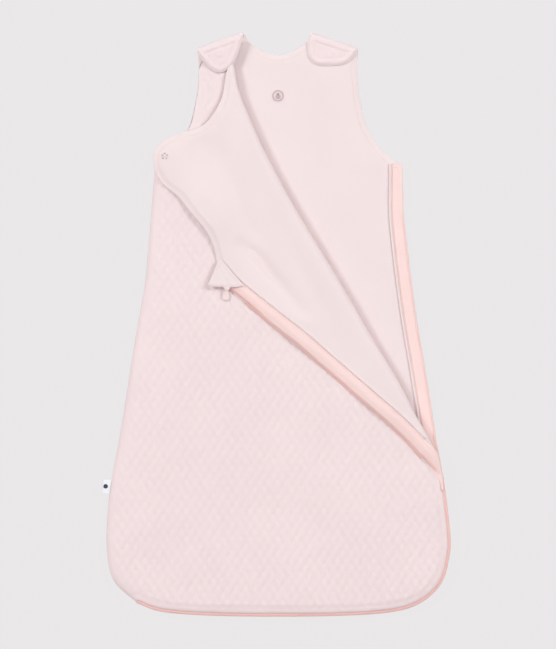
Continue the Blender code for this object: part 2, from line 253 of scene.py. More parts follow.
def new_piece(name, verts, faces, materials, face_materials=None, flat=False):
    """A mesh object, smooth-shaded unless it is flat."""
    data = bpy.data.meshes.new(name)
    data.from_pydata([tuple(map(float, v)) for v in verts], [], [tuple(map(int, f)) for f in faces])
    for m in materials:
        data.materials.append(m)
    if face_materials is not None:
        data.polygons.foreach_set("material_index", np.array(face_materials, np.int32))
    if not flat:
        data.shade_smooth()
    data.update()
    piece = bpy.data.objects.new(name, data)
    bpy.context.collection.objects.link(piece)
    return piece


def rim_ring(low, high, out, bulge, count=3):
    """Rings of points between two matching loops, bulging outwards."""
    rings = []
    for k in range(1, count + 1):
        t = k / (count + 1)
        ring = low + (high - low) * (0.5 - 0.5 * math.cos(math.pi * t))
        ring[:, :2] += out * (bulge * math.sin(math.pi * t))
        rings.append(ring)
    return rings


def outline_normals(outline):
    """Unit normals of a closed counter-clockwise outline, pointing out."""
    way = np.roll(outline, -1, 0) - np.roll(outline, 1, 0)
    way /= np.linalg.norm(way, axis=1)[:, None] + 1e-12
    return np.stack([way[:, 1], -way[:, 0]], 1)


def counter_clockwise(outline):
    """The same closed outline, run counter-clockwise."""
    x, y = outline[:, 0], outline[:, 1]
    area = np.sum(x * np.roll(y, -1) - y * np.roll(x, -1))
    return outline if area > 0 else outline[::-1]


def padded_panel(name, outline, top_height, bottom_height, materials, spacing=GRID, bulge=0.0012):
    """A closed padded panel: a top and a bottom sheet that meet in a rounded rim."""
    outline = counter_clockwise(outline)
    points, tris = fill(outline, spacing)
    top = np.column_stack([points, top_height(points)])
    bottom = np.column_stack([points, bottom_height(points)])
    rim = len(outline)
    rings = rim_ring(bottom[:rim], top[:rim], outline_normals(outline), bulge)
    verts = [top, bottom, *rings]
    starts = np.cumsum([0] + [len(v) for v in verts])
    faces = [t for t in tris] + [tuple(i + starts[1] for i in reversed(t)) for t in tris]
    which = [0] * len(tris) + [1] * len(tris)
    loops = [np.arange(rim) + starts[1]] + [np.arange(rim) + starts[2 + k] for k in range(len(rings))]
    loops.append(np.arange(rim))
    for k, (a, b) in enumerate(zip(loops[:-1], loops[1:])):
        for i in range(rim):
            j = (i + 1) % rim
            faces.append((a[i], a[j], b[j], b[i]))
            which.append(1 if k < 2 else 0)
    return new_piece(name, np.vstack(verts), faces, materials, which)


def wobble(points, scale, seed):
    """Smooth noise between about -1 and 1 at each point of the plane."""
    return np.array([noise.noise(Vector((x * scale, y * scale, seed))) for x, y in points[:, :2]])


def quilt(points):
    """Height of the diamond matelasse: soft pads parted by fine grooves, a small pit at each crossing."""
    u = points[:, 0] / DIAMOND_WIDE
    v = points[:, 1] / DIAMOND_HIGH
    a = np.abs(np.sin(math.pi * (u + v)))
    b = np.abs(np.sin(math.pi * (u - v)))
    pad = np.minimum(a, b) ** 0.7
    pit = np.exp(-((a * a + b * b) / 0.16))
    return QUILT_DEPTH * (0.6 * pad - 1.1 * pit)


def ribbon(name, path, half_width_in, half_width_out, height, thickness, mat, crown=0.0003):
    """A flat tape along a path in the plane, from an inner to an outer offset, slightly domed."""
    across = 7
    side = normals(path)
    count = len(path)
    rows = []
    for k in range(across):
        t = k / (across - 1)
        reach = half_width_out + (np.asarray(half_width_in) - half_width_out) * t
        at = path + side * (reach[:, None] if np.ndim(reach) else reach)
        z = height(at, t) + np.full(count, crown * math.sin(math.pi * t))
        rows.append(np.column_stack([at, z]))
    top = np.stack(rows, 1)
    bottom = top - [0, 0, thickness]
    verts = np.vstack([top.reshape(-1, 3), bottom.reshape(-1, 3)])
    base = count * across
    faces = []
    for i in range(count - 1):
        for k in range(across - 1):
            a, b = i * across + k, (i + 1) * across + k
            faces.append((a, b, b + 1, a + 1))
            faces.append((base + a, base + a + 1, base + b + 1, base + b))
        for k in (0, across - 1):
            a, b = i * across + k, (i + 1) * across + k
            faces.append((a, base + a, base + b, b) if k == 0 else (a, b, base + b, base + a))
    for k in range(across - 1):
        faces.append((k, k + 1, base + k + 1, base + k))
        e = (count - 1) * across + k
        faces.append((e, base + e, base + e + 1, e + 1))
    piece = new_piece(name, verts, faces, [mat])
    fix_normals(piece)
    return piece


def fix_normals(piece):
    """Turns every face outwards."""
    mesh = bmesh.new()
    mesh.from_mesh(piece.data)
    bmesh.ops.recalc_face_normals(mesh, faces=mesh.faces)
    mesh.to_mesh(piece.data)
    mesh.free()


def add_tube(verts, faces, rings):
    """Adds a closed tube through rings of points to a mesh in the making."""
    base, sides = len(verts), len(rings[0])
    last = (len(rings) - 1) * sides
    for ring in rings:
        verts.extend(ring)
    for start in range(base, base + last, sides):
        for k in range(sides):
            i, j = start + k, start + (k + 1) % sides
            faces.append((i, j, j + sides, i + sides))
    faces.append(tuple(base + k for k in reversed(range(sides))))
    faces.append(tuple(base + last + k for k in range(sides)))


def stitches(name, path3, mat, step=STITCH_STEP, long=STITCH_LONG, radius=STITCH_RADIUS):
    """A row of thread stitches along a path in space, each a small sunken-ended capsule."""
    path3 = evenly(path3, step)
    verts, faces = [], []
    turns = [2 * math.pi * k / 5 for k in range(5)]
    up = np.array([0, 0, 1.0])
    for a, b in zip(path3[:-1], path3[1:]):
        way = (b - a) / (np.linalg.norm(b - a) + 1e-12)
        side = np.array([-way[1], way[0], 0.0])
        rings = []
        for t, r, dip in ((0.0, 0.3, -0.6), (0.25, 1.0, 0.0), (0.75, 1.0, 0.0), (1.0, 0.3, -0.6)):
            centre = a + way * long * t + up * radius * dip
            rings.append([centre + radius * r * (side * math.cos(turn) + up * math.sin(turn))
                          for turn in turns])
        add_tube(verts, faces, rings)
    piece = new_piece(name, verts, faces, [mat])
    fix_normals(piece)
    return piece


# ---- materials
FINE_MOTTLE = 0.35
THREAD_RELIEF = 0.0004
WEAVE_ANGLES = {"jersey": (0.0, math.pi / 2), "tape": (0.6, -0.6), "twill": (0.785, -0.785)}


def srgb(r, g, b):
    """A linear colour from screen values of 0 to 255."""
    return tuple(((c / 255) / 12.92 if c <= 10 else (((c / 255) + 0.055) / 1.055) ** 2.4) for c in (r, g, b))


def add_node(tree, kind, inputs, **settings):
    """A shader node; each input gets a value, or a link when it is given a socket."""
    made = tree.nodes.new(kind)
    for key, value in settings.items():
        setattr(made, key, value)
    for key, value in inputs.items():
        if isinstance(value, bpy.types.NodeSocket):
            tree.links.new(value, made.inputs[key])
        else:
            made.inputs[key].default_value = value
    return made


def new_material(name):
    """A node material: its own handle, its tree, its shader and the object coordinates."""
    mat = bpy.data.materials.new(name)
    mat.use_nodes = True
    tree = mat.node_tree
    where = tree.nodes.new("ShaderNodeTexCoord").outputs["Object"]
    return mat, tree, tree.nodes["Principled BSDF"], where


def cloth_material(name, colour, weave_scale, weave_strength, mottle=0.03, kind="jersey", sheen=0.25):
    """A woven or knitted cloth: fine threads in bump, slight mottling of the colour, soft sheen."""
    mat, tree, shader, where = new_material(name)
    shader.inputs["Roughness"].default_value = 0.92
    shader.inputs["Specular IOR Level"].default_value = 0.25
    shader.inputs["Sheen Weight"].default_value = sheen
    shader.inputs["Sheen Roughness"].default_value = 0.5
    big = add_node(tree, "ShaderNodeTexNoise", {"Vector": where, "Scale": 14.0, "Detail": 5.0})
    fine = add_node(tree, "ShaderNodeTexNoise", {"Vector": where, "Scale": 900.0, "Detail": 2.0})
    both = add_node(tree, "ShaderNodeMath", {0: fine.outputs["Fac"], 1: FINE_MOTTLE, 2: big.outputs["Fac"]},
                    operation="MULTIPLY_ADD")
    ramp = add_node(tree, "ShaderNodeValToRGB", {"Fac": both.outputs[0]})
    dark, light = ramp.color_ramp.elements
    dark.position, light.position = 0.35, 0.95
    dark.color = (*[c * (1 - mottle) for c in colour], 1)
    light.color = (*[min(1.0, c * (1 + mottle * 0.6)) for c in colour], 1)
    waves = []
    for angle in WEAVE_ANGLES[kind]:
        turn = add_node(tree, "ShaderNodeMapping", {"Vector": where, "Rotation": (0, 0, angle)})
        waves.append(add_node(tree, "ShaderNodeTexWave", {
            "Vector": turn.outputs["Vector"], "Scale": weave_scale, "Distortion": 0.6, "Detail": 1.0}))
    mix = add_node(tree, "ShaderNodeMath", {0: waves[0].outputs["Fac"], 1: waves[1].outputs["Fac"]},
                   operation="MULTIPLY")
    bump = add_node(tree, "ShaderNodeBump", {
        "Strength": weave_strength, "Distance": THREAD_RELIEF, "Height": mix.outputs[0]})
    tree.links.new(bump.outputs["Normal"], shader.inputs["Normal"])
    tree.links.new(ramp.outputs["Color"], shader.inputs["Base Color"])
    return mat


def hard_material(name, colour, roughness, metallic=0.0):
    """Moulded plastic or lacquered metal with faint handling marks in its gloss."""
    mat, tree, shader, where = new_material(name)
    shader.inputs["Metallic"].default_value = metallic
    marks = add_node(tree, "ShaderNodeTexNoise", {"Vector": where, "Scale": 260.0, "Detail": 4.0})
    gloss = add_node(tree, "ShaderNodeMapRange", {
        "Value": marks.outputs["Fac"], "To Min": roughness * 0.8, "To Max": roughness * 1.25})
    tint = add_node(tree, "ShaderNodeValToRGB", {"Fac": marks.outputs["Fac"]})
    tint.color_ramp.elements[0].color = (*[c * 0.93 for c in colour], 1)
    tint.color_ramp.elements[1].color = (*colour, 1)
    tree.links.new(gloss.outputs["Result"], shader.inputs["Roughness"])
    tree.links.new(tint.outputs["Color"], shader.inputs["Base Color"])
    return mat


OUTER = cloth_material("outer_matelasse", srgb(246, 227, 228), 520, 0.35)
LINING = cloth_material("jersey_lining", srgb(242, 225, 225), 700, 0.22, mottle=0.02)
TAPE = cloth_material("woven_zip_tape", srgb(255, 224, 220), 640, 0.3, kind="tape")
TAPE_EDGE = cloth_material("tape_selvedge", srgb(255, 207, 201), 640, 0.5, kind="tape")
THREAD = cloth_material("sewing_thread", srgb(240, 210, 212), 2200, 0.4, kind="twill")
THREAD_PEACH = cloth_material("peach_thread", srgb(246, 200, 194), 2200, 0.4, kind="twill")
LABEL = cloth_material("woven_label", srgb(250, 250, 252), 1500, 0.4, kind="tape")
PRINT = cloth_material("neck_print", srgb(204, 180, 184), 700, 0.2)
COIL = hard_material("moulded_coil", srgb(252, 206, 200), 0.4)
METAL = hard_material("lacquered_metal", srgb(244, 222, 219), 0.35)
SNAP = hard_material("press_stud", srgb(226, 214, 216), 0.3, metallic=0.2)
PRONG = hard_material("stud_prongs", srgb(158, 142, 146), 0.35, metallic=0.4)
NAVY = cloth_material("label_thread", srgb(70, 74, 100), 1500, 0.4, kind="tape")


# ---- back panel
def back_panel():
    """Quilted outer below, jersey above, wadding between, thin at its sewn edges."""
    outline = closed(neck, right_arm, offset(back_zip, 0.011), left_side, mirror(right_arm))
    rim = np.vstack([outline, outline[:1]])

    def top(points):
        near = distance_to(points, rim)
        soft = 0.0006 * wobble(points, 16, 3.0) + 0.0003 * wobble(points, 45, 9.0)
        level = 0.003 + (BACK_TOP - 0.003) * ease(near / 0.006) + soft * ease(near / 0.02)
        return level - 0.0005 * np.exp(-(((near - TOPSTITCH_IN) / 0.0012) ** 2))

    def bottom(points):
        near = distance_to(points, rim)
        pads = (quilt(points) - 0.55 * QUILT_DEPTH) * 0.6
        return 0.0014 * (1 - ease(near / 0.008)) + pads * ease(near / 0.01)

    piece = padded_panel("back_panel_cloth", outline, top, bottom, [LINING, OUTER], spacing=0.0034)
    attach(piece, "back")
    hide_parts("back_outer", "back_wadding", "back_lining")
    return top


def front_lower():
    """The visible lower front: quilted outer over wadding, rounded down to the side seam and the zip."""
    upper_edge = smooth([(0.1935, -0.188), (0.148, -0.12), (0.07, -0.035), (0.0, 0.025),
                         (-0.06, 0.095), (-0.11, 0.16), (-0.13, 0.183), (-0.1475, 0.186)])
    zip_edge = back_zip[np.linalg.norm(back_zip - [0.199, -0.188], axis=1).argmin():]
    sewn = np.vstack([zip_edge, left_side])
    outline = closed(offset(zip_edge, 0.0034), offset(left_side, 0.0004), upper_edge[::-1])

    def top(points):
        near = distance_to(points, sewn)
        rise = np.sqrt(np.clip(1 - (1 - np.clip(near / EDGE_ROLL, 0, 1)) ** 2, 0, 1))
        base = SEAM_Z + 0.0012 + (FRONT_TOP - SEAM_Z - 0.0012) * rise
        base -= 0.0007 * np.exp(-(((distance_to(points, zip_edge) - ZIP_SEAM_IN) / 0.0014) ** 2))
        soft = 0.0011 * wobble(points, 9, 5.0) + 0.0005 * wobble(points, 30, 2.0)
        return base + (soft + quilt(points)) * ease((near - 0.002) / 0.012)

    def bottom(points):
        near = distance_to(points, sewn)
        return SEAM_Z - 0.0002 + (FRONT_LOW - SEAM_Z) * ease(near / EDGE_ROLL)

    piece = padded_panel("front_lower_cloth", outline, top, bottom, [OUTER, LINING], spacing=0.0022,
                         bulge=0.0006)
    blend_foot(piece)
    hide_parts("front_outer", "front_wadding", "front_lining",
                "foot_outer", "foot_wadding", "foot_lining")
    return top


# Where the folded flap stands off the front below it: x, y, how wide, how high.
FLAP_LIFTS = [(-0.09, 0.13, 0.042, 0.0052), (-0.08, 0.262, 0.032, 0.0048),
              (-0.138, 0.195, 0.02, 0.0014), (0.025, -0.02, 0.048, 0.0036),
              (0.11, -0.095, 0.045, 0.003)]
ROLL_LOFT = 0.0048


def front_upper():
    """The upper front: its fixed left part, the rolled crease and the flap folded over with its lining up."""
    lines = evenly(crease, 0.003)
    low_edge = smooth([(0.194, -0.188), (0.14, -0.113), (0.07, -0.037), (0.0, 0.023),
                       (-0.06, 0.093), (-0.11, 0.158), (-0.13, 0.181), (-0.147, 0.1845)])
    left_edge = mirror(right_arm)
    strap_end = smooth([(-0.0945, 0.306), (-0.09, 0.315), (-0.08, 0.32), (-0.065, 0.319),
                        (-0.056, 0.311)])
    left_edge = left_edge[left_edge[:, 1] < 0.304]
    fixed = closed(lines, evenly(low_edge, 0.003)[1:], evenly(left_edge, 0.003),
                   evenly(strap_end, 0.003)[:-1])
    flap_rim = np.vstack([evenly(flap_zip, 0.003)[::-1][1:], evenly(flap_neck, 0.0025)[::-1][1:-1]])
    flap = closed(lines, flap_rim)
    count = len(lines)

    # The roll stands highest in the middle of the crease.
    share = np.linspace(0, 1, count)
    swell = np.sin(math.pi * share) ** 0.7
    loft = ROLL_LOFT * swell

    def near_crease(points):
        d = distance_to(points, lines)
        nearest = ((points[:, None, :] - lines[None, ::4, :]) ** 2).sum(2).argmin(1) * 4
        return d, loft[np.clip(nearest, 0, count - 1)]

    def raised(points, away):
        """How far the folded flap stands off the front below it."""
        gap = np.zeros(len(points))
        for x, y, size, rise in FLAP_LIFTS:
            gap += rise * np.exp(-(((points[:, 0] - x) ** 2 + (points[:, 1] - y) ** 2) / size**2))
        return gap * ease(away / 0.03)

    def tip(points):
        """Rises to 1 where the fold runs out at the closed part of the zip."""
        return ease(1 - np.linalg.norm(points - flap_zip[-1], axis=1) / 0.045)

    folds = smooth([(-0.042, 0.096), (-0.023, 0.076), (-0.0096, 0.0594), (0.009, 0.039),
                    (0.03, 0.01)])
    gather = smooth([(-0.07, 0.215), (-0.056, 0.17), (-0.04, 0.125), (-0.015, 0.09)])

    def drawn(points):
        """The two long soft valleys across the lining."""
        y = points[:, 1]
        first = np.exp(-((distance_to(points, folds) / 0.0095) ** 2))
        first = first * ease((y + 0.004) / 0.03) * ease((0.125 - y) / 0.05)
        second = np.exp(-((distance_to(points, gather) / 0.012) ** 2))
        second = second * ease((y - 0.085) / 0.03) * ease((0.23 - y) / 0.05)
        return -0.0042 * first - 0.0022 * second

    fixed_edge = np.vstack([left_edge, strap_end])

    def flap_top(points):
        d, lift = near_crease(points)
        edge = distance_to(points, flap_rim)
        drape = 0.001 * wobble(points, 11, 1.0) + 0.0004 * wobble(points, 34, 4.0)
        across = (points - FOLD_POINT) @ FOLD_OUT
        along = (points - FOLD_POINT) @ FOLD_ALONG
        pleat = 0.0008 * np.sin(across * 95 + 2.2 * np.sin(along * 11) + 0.8)
        soft = (drape + pleat * ease(along / 0.2)) * ease(edge / 0.02) * ease(d / 0.03)
        flat = FLAP_TOP - 0.0004 + soft - 0.0022 * (1 - ease(edge / 0.009))
        flat += drawn(points) * ease(edge / 0.015) + raised(points, d)
        flat += lift * np.exp(-((d / 0.02) ** 2))
        room = CLOSED_ROOM + 0.0022 * ease((distance_to(points, flap_zip) - 0.018) / 0.02)
        flat = np.clip(flat, FOLD_Z + 2 * FOLD_CLEAR, room)
        return flat + (TIP_Z + 0.002 - flat) * tip(points)

    def flap_bottom(points):
        d, lift = near_crease(points)
        edge = distance_to(points, flap_rim)
        low = FLAP_LOW + 0.0004 + 0.0006 * (1 - ease(edge / 0.009)) + raised(points, d)
        low += 0.5 * lift * np.exp(-((d / 0.012) ** 2))
        return low + (TIP_Z - low) * tip(points)

    def fixed_top(points):
        edge = distance_to(points, fixed_edge)
        soft = 0.0004 * wobble(points, 12, 5.0)
        top = FRONT_TOP - 0.0016 - 0.0018 * (1 - ease(edge / 0.01))
        top += (soft + quilt(points)) * ease(edge / 0.012) * ease(distance_to(points, lines) / 0.01)
        return np.minimum(top, FOLD_Z - FOLD_CLEAR)

    def fixed_bottom(points):
        d, lift = near_crease(points)
        edge = distance_to(points, fixed_edge)
        return FRONT_LOW + 0.0012 * (1 - ease(edge / 0.01)) - 0.9 * lift * np.exp(-((d / 0.014) ** 2))

    verts, faces, which = [], [], []

    def add(points, tris, height, flip, material):
        base = len(verts)
        verts.extend(np.column_stack([points, height(points)]))
        for t in tris:
            faces.append(tuple(base + i for i in (reversed(t) if flip else t)))
            which.append(material)
        return base

    fixed_points, fixed_tris = fill(fixed, 0.003)
    flap_points, flap_tris = fill(flap, 0.003)
    a_top = add(fixed_points, fixed_tris, fixed_top, False, 1)
    a_low = add(fixed_points, fixed_tris, fixed_bottom, True, 0)
    b_top = add(flap_points, flap_tris, flap_top, False, 0)
    b_low = add(flap_points, flap_tris, flap_bottom, True, 1)

    def join(one, two, material):
        for i in range(len(one) - 1):
            faces.append((one[i], one[i + 1], two[i + 1], two[i]))
            which.append(material)

    def rounded(outline, low, high, start, stop, material, bulge):
        """Closes the rim between outline points start and stop, where the two sheets meet."""
        index = [k % len(outline) for k in range(start, stop + 1)]
        ring_low = np.array([verts[low + k] for k in index])
        ring_high = np.array([verts[high + k] for k in index])
        out = normals(np.array([outline[k] for k in index]))
        probe = np.array([outline[index[len(index) // 2]] + 0.001 * out[len(index) // 2]])
        if inside(probe, outline)[0]:
            out = -out
        previous = [low + k for k in index]
        for ring in rim_ring(ring_low, ring_high, out, bulge):
            base = len(verts)
            verts.extend(ring)
            now = list(range(base, base + len(index)))
            join(previous, now, material)
            previous = now
        join(previous, [high + k for k in index], material)

    rounded(fixed, a_low, a_top, count - 1, len(fixed), 1, 0.0006)
    rounded(flap, b_low, b_top, count - 1, len(flap), 0, 0.0009)

    # The crease: the lining rolls round outside, the outer fabric folds tightly inside.
    out = normals(lines)
    if inside((lines[count // 2] + 0.002 * out[count // 2])[None], fixed)[0]:
        out = -out

    def roll(low, high, steps, reach, material):
        previous = [low + k for k in range(count)]
        bottom = np.array([verts[k] for k in previous])
        top = np.array([verts[high + k] for k in range(count)])
        middle, radius = (bottom + top) / 2, (top[:, 2] - bottom[:, 2]) / 2
        for k in range(1, steps):
            turn = -math.pi / 2 + math.pi * k / steps
            ring = middle.copy()
            ring[:, 2] += radius * math.sin(turn)
            ring[:, :2] += out * (radius * reach * math.cos(turn))[:, None]
            base = len(verts)
            verts.extend(ring)
            now = list(range(base, base + count))
            join(previous, now, material)
            previous = now
        join(previous, [high + k for k in range(count)], material)

    roll(a_low, b_top, 12, 0.95, 0)
    roll(a_top, b_low, 3, 0.6, 1)
    piece = new_piece("front_upper_cloth", verts, faces, [LINING, OUTER], which)
    fix_normals(piece)
    blend_flap(piece)
    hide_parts("flap_outer", "flap_wadding", "flap_lining")
    return flap_top


def topstitching(back_top, lower_top, upper_top):
    """Rows of stitches along the neck, the right armhole, the flap's free edge and the zip's front seam."""
    arm = evenly(right_arm, 0.003)
    rows = {
        "neck_stitches": (offset(evenly(neck, 0.003), TOPSTITCH_IN)[3:-3], back_top, "back", "lining"),
        "right_arm_stitches": (offset(arm, TOPSTITCH_IN)[3:-4], back_top, "back", "lining"),
    }
    for name, (line, top, body, slot) in rows.items():
        row = stitches(name, np.column_stack([line, top(line) + THREAD_PROUD]), THREAD, radius=FINE_THREAD)
        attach(row, body)
    edge = evenly(flap_neck, 0.003)[6:-2]
    line = offset(edge, -TOPSTITCH_IN)
    line = line if inside(line[len(line) // 2][None], FLAP_AREA)[0] else offset(edge, TOPSTITCH_IN)
    row = stitches("flap_edge_stitches", np.column_stack([line, upper_top(line) + THREAD_PROUD]), THREAD,
                   radius=FINE_THREAD)
    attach(row, "front_flap")
    first = np.linalg.norm(back_zip - [0.201, -0.201], axis=1).argmin()
    line = offset(evenly(back_zip[first:], 0.003), ZIP_SEAM_IN)
    row = stitches("zip_seam_stitches", np.column_stack([line, lower_top(line) + THREAD_PROUD]), THREAD,
                   radius=FINE_THREAD)
    blend_foot(row)


def build_zip(surface):
    """Tapes, lining welts and stitches on both open halves of the zip."""
    edge = evenly(flap_zip, 0.003)
    edge = edge[edge[:, 0] > -0.06]
    tail = np.array([[0.1974, -0.201]])
    path = evenly(smooth([*edge[:-2:6], edge[-1], *tail]), 0.003)
    if inside(offset(path, -0.005)[20][None], FLAP_AREA)[0]:
        path = path[::-1]
    run = np.linalg.norm(path - tail[-1], axis=1)

    def flap_height(at, t):
        away = np.linalg.norm(at - tail[-1], axis=1)
        ripple = 0.0003 * (1 + wobble(at, 55, 7.0)) * ease(away / 0.05)
        return surface(at) + 0.0008 + ripple - 0.0008 * (1 - t) ** 3

    width = 0.0016 + 0.0134 * ease(run / 0.05) + 0.003 * np.exp(-(((run - 0.042) / 0.016) ** 2))
    tape = ribbon("flap_tape", path, width, -0.001, flap_height, TAPE_THICK, TAPE)
    blend_flap(tape)
    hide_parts("flap_zip_tape")

    def teeth_height(at, t):
        return surface(at) - 0.0022 - 0.0012 * (1 - t)

    teeth_path = path[run > 0.03]
    teeth = ribbon("flap_tape_edge", teeth_path, -0.0006, -0.0036, teeth_height, TAPE_THICK, TAPE_EDGE)
    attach(teeth, "front_flap")
    welt_path = path + normals(path) * (width[:, None] + 0.0014)
    keep = np.linalg.norm(welt_path - tail[-1], axis=1) > 0.066
    welt_path = welt_path[keep]
    welt = ribbon("flap_tape_welt", welt_path, 0.0012, -0.0012, lambda at, t: surface(at) + 0.0006,
                  WELT_THICK, LINING, crown=WELT_CROWN)
    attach(welt, "front_flap")
    for name, shift, thread in (("flap_welt_stitches", 0.0, THREAD),
                                ("flap_tape_stitches", -TAPE_STITCH_IN, THREAD_PEACH)):
        line = welt_path + normals(welt_path) * shift
        row = stitches(name, np.column_stack([line, surface(line) + 0.0013]), thread)
        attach(row, "front_flap")

    cut_at = np.linalg.norm(back_zip - [0.1985, -0.188], axis=1).argmin()
    back_path = evenly(smooth([(0.1484, 0.1922), *back_zip[:cut_at + 1:8]]), 0.003)
    back_run = np.linalg.norm(back_path - back_path[0], axis=1)
    back_width = 0.0122 + 0.0024 * ease(back_run / 0.1)

    def back_height(at, t):
        over_pin = ease((at[:, 1] - 0.125) / 0.015) * (1 - t) ** 2
        return BACK_TAPE_TOP + 0.0002 * wobble(at, 50, 2.0) - 0.0008 * (1 - t) ** 2 + 0.0012 * over_pin

    back = ribbon("back_tape", back_path, back_width, -0.0012, back_height, TAPE_THICK, TAPE)
    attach(back, "back")
    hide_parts("back_zip_tape")
    welt_path = back_path + normals(back_path) * (back_width[:, None] + 0.0016)
    welt = ribbon("back_tape_welt", welt_path, 0.0015, -0.0015, level(BACK_TAPE_TOP), WELT_THICK, LINING,
                  crown=WELT_CROWN)
    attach(welt, "back")
    for name, shift, height, thread in (("back_welt_stitches", 0.0024, 0.0058, THREAD),
                                        ("back_tape_stitches", -TAPE_STITCH_IN, 0.0065, THREAD_PEACH)):
        line = offset(welt_path, shift)
        row = stitches(name, np.column_stack([line, np.full(len(line), height)]), thread)
        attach(row, "back")
    bar_tack = np.array([[0.1388, 0.188, 0.0068], [0.144, 0.188, 0.0068]])
    bar = stitches("back_tape_bar_tack", bar_tack, THREAD_PEACH, step=0.0012, long=0.0011)
    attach(bar, "back")


def blend_flap(piece):
    """Pushes vertices that lie within the fold gap of the fold's height out to the gap's edge, above or
    below, and bakes the piece's transform.
    """
    for vertex in piece.data.vertices:
        rise = vertex.co.z - FOLD_Z
        if abs(rise) < FOLD_GAP:
            vertex.co.z = FOLD_Z + math.copysign(FOLD_GAP, rise)
    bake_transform(piece)


def closed_zip():
    """The zipped line round the foot end: the two tape edges and the coil between them."""
    first = np.linalg.norm(back_zip - [0.199, -0.19], axis=1).argmin()
    line = evenly(back_zip[first:], 0.003)
    along_hem = ease((line[:, 0] - 0.015) / 0.03) * ease((0.156 - line[:, 0]) / 0.03) * (line[:, 1] < -0.33)
    wide = 0.0036 + 0.0018 * along_hem
    front = ribbon("foot_zip_edge", line, wide, -0.0009, lambda at, t: FRONT_EDGE_TOP - 0.001 * (1 - t) ** 3,
                   0.0008, TAPE_EDGE)
    blend_foot(front)
    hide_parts("foot_zip_tape", "side_zip_tape")
    back = ribbon("back_zip_edge", line, 0.015, -0.0005, level(BACK_EDGE_TOP), TAPE_THICK, TAPE_EDGE)
    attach(back, "back")
    row = coil("foot_coil", line, 0.0074, "foot_corner", "foot_zip_coil")
    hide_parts("side_zip_coil")
    coil("back_coil", evenly(back_zip, 0.003)[9:], 0.0052, "back", "back_zip_coil")
    flap_line = evenly(flap_zip, 0.003)
    flap_line = flap_line[(flap_line[:, 0] > -0.056) & (flap_line[:, 0] < 0.188)]
    if inside(offset(flap_line, -0.005)[20][None], FLAP_AREA)[0]:
        flap_line = flap_line[::-1]
    coil("flap_coil", flap_line, FLAP_LOW + 0.0038, "front_flap", "flap_zip_coil")


def side_seam():
    """The sewn seam allowance that joins the front to the back down the left side."""
    low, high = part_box("left_side_seam")
    line = evenly(left_side, 0.003)
    bag = np.vstack([left_side, right_arm])
    if not inside(offset(line, SIDE_SEAM_IN)[len(line) // 2][None], bag)[0]:
        line = line[::-1]
    seam = ribbon("side_seam_cloth", line, SIDE_SEAM_WIDE, SIDE_SEAM_IN, level(high[2] - 0.0006),
                  high[2] - low[2] - 0.0008, OUTER)
    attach(seam, "back")
    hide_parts("left_side_seam")


def blend_foot(piece):
    """Bakes a piece's transform into its mesh; the foot corner's fold axis is worked out but nothing is bent
    across it.
    """
    axis = np.array(FOOT["axis"][:2])
    out = np.array([-axis[1], axis[0]])
    out = -out if out[1] > 0 else out
    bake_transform(piece)


# ---- shoulder tabs
def shoulder_tab(side, outline, shoulder, low, high, bumps, body):
    """A padded tab folded over the shoulder: a stitched edge band, and a bump over its press stud."""
    outline = counter_clockwise(closed(outline))
    rim = np.vstack([outline, outline[:1]])
    top_line = np.array(shoulder)

    def top(points):
        edge = distance_to(points, rim)
        hinge = distance_to(points, top_line)
        band = 0.0009 * np.sin(math.pi * np.clip(edge / BAND, 0, 1)) ** 0.8 * (edge < BAND)
        groove = -0.0006 * np.exp(-((edge - BAND) / 0.0008) ** 2)
        z = high - 0.0006 + band + groove + 0.0004 * wobble(points, 60, 8.0)
        z -= 0.0014 * (1 - ease(edge / 0.0022)) * (hinge > 0.003)
        z -= (high - low) * 0.55 * (1 - ease(hinge / 0.006))
        for (x, y), size, rise in bumps:
            away = np.linalg.norm(points - [x, y], axis=1)
            z += rise * (ease(1.6 - away / size) if rise > 0 else np.exp(-(away / size) ** 2))
        return z

    piece = padded_panel(f"{side}_tab_cloth", outline, top, level(low + 0.0002), [OUTER, LINING],
                         spacing=0.0013, bulge=0.0008)
    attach(piece, body)
    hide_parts(f"{side}_tab_outer", f"{side}_tab_lining", f"{side}_tab_snap_cap")
    inner = outline - outline_normals(outline) * BAND
    inner = inner[distance_to(inner, top_line) > 0.008]
    start = np.argmax(np.linalg.norm(np.roll(inner, 1, 0) - inner, axis=1))
    inner = evenly(np.roll(inner, -start, 0), 0.0026)
    row = stitches(f"{side}_tab_stitches", np.column_stack([inner, top(inner) + 0.0003]), THREAD, step=0.0026,
                   long=0.0019, radius=0.0002)
    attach(row, body)


def shoulder_roll(side, shoulder, low, high, bulge):
    """The back strap's end, rolled over the shoulder into the tab, with its two seam lines."""
    a, b = (np.array(p) for p in shoulder)
    line = evenly([a, b], 0.0015)
    along = (b - a) / np.linalg.norm(b - a)
    up = np.array([along[1], -along[0]])
    up = -up if up[1] < 0 else up
    steps, verts, faces = 10, [], []
    for i, p in enumerate(line):
        end = min(i, len(line) - 1 - i) / 3
        shrink = ease(0.35 + 0.65 * min(1.0, end))
        for k in range(steps + 1):
            turn = -math.pi / 2 + math.pi * k / steps
            ridge = 0.0002 * math.sin(turn * 9)
            at = p + up * ((bulge + ridge) * math.cos(turn) * shrink)
            verts.append((*at, (low + high) / 2 + (high - low) / 2 * math.sin(turn)))
        verts.append((*(p - up * 0.0035), (low + high) / 2))
    ring = steps + 2
    for i in range(len(line) - 1):
        for k in range(ring):
            j = (k + 1) % ring
            faces.append((i * ring + k, i * ring + j, (i + 1) * ring + j, (i + 1) * ring + k))
    faces.append(tuple(range(ring)))
    faces.append(tuple((len(line) - 1) * ring + k for k in reversed(range(ring))))
    piece = new_piece(f"{side}_shoulder_roll", verts, faces, [OUTER])
    fix_normals(piece)
    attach(piece, "back")
    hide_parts(f"{side}_shoulder_seam")


